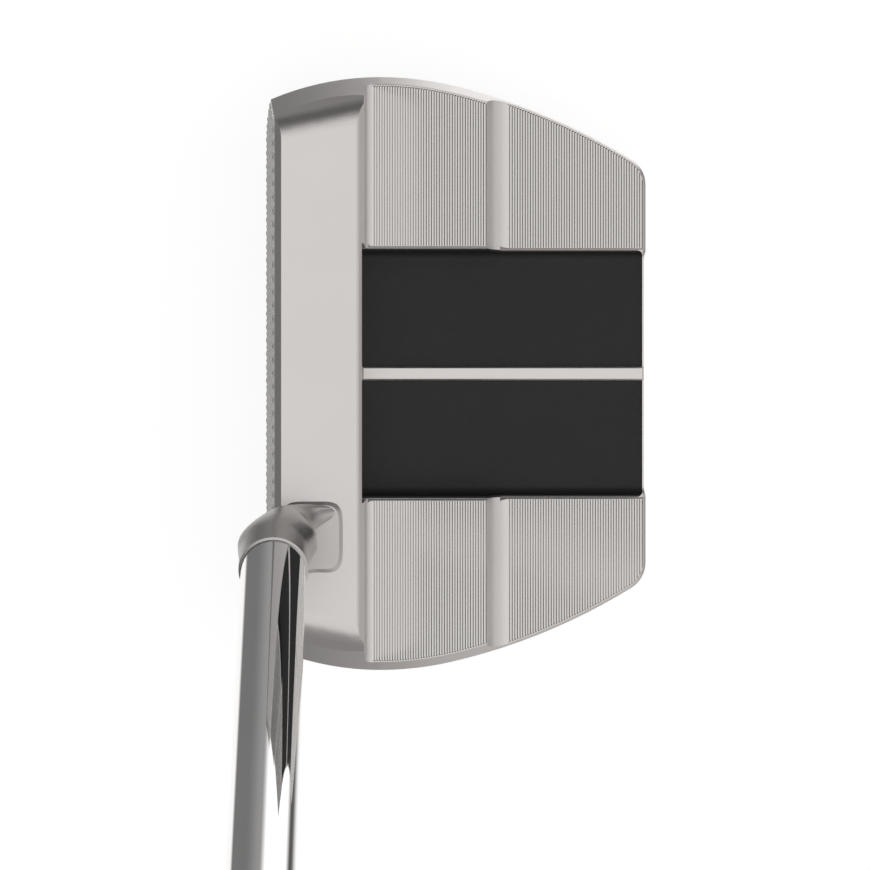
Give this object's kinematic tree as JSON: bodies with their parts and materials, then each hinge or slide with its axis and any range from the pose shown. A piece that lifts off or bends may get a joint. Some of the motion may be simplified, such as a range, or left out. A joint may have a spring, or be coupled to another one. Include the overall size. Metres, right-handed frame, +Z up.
{
  "type": "mallet putter",
  "caption": "Milled metal mallet putter with a ball-wide black alignment channel, sight line, slant neck, chrome shaft and black rubber grip.",
  "frame": {"origin": "on the flat of the sole, under the sight line and midway between the leading and trailing edges", "axes": "+Z up off the sole, +X from toe to heel along the face, +Y from the face to the back of the head"},
  "size_m": [0.3819, 0.0783, 0.8391],
  "materials": {
    "milled_head_metal": "bare milled metal, fine tool lines on the decks, satin",
    "neck_steel": "bead-blasted bare steel, satin",
    "black_inlay": "satin black, slightly textured",
    "sight_metal": "bare milled metal, satin",
    "sole_steel": "brushed heel to toe",
    "screw_steel": "turned bare steel",
    "weight_steel": "turned bare steel, fine concentric lines",
    "shaft_chrome": "mirror chrome plate",
    "epoxy": "cured adhesive",
    "plug_rubber": "plain moulded rubber",
    "tape": "double-sided tape, off-white",
    "grip_rubber": "matt moulded rubber with a fine diamond pattern",
    "cap_plastic": "matt moulded plastic"
  },
  "bodies": {
    "root": {"head_body": "milled_head_metal", "slant_neck": "neck_steel", "toe_side_inlay": "black_inlay", "heel_side_inlay": "black_inlay", "sight_line_bar": "sight_metal", "sole_plate": "sole_steel", "sole_plate_screws": "screw_steel", "toe_sole_weight": "weight_steel", "heel_sole_weight": "weight_steel", "shaft": "shaft_chrome", "hosel_epoxy": "epoxy", "shaft_tip_plug": "plug_rubber", "grip_tape": "tape", "grip": "grip_rubber", "grip_end_cap": "cap_plastic"}
  },
  "joints": []
}
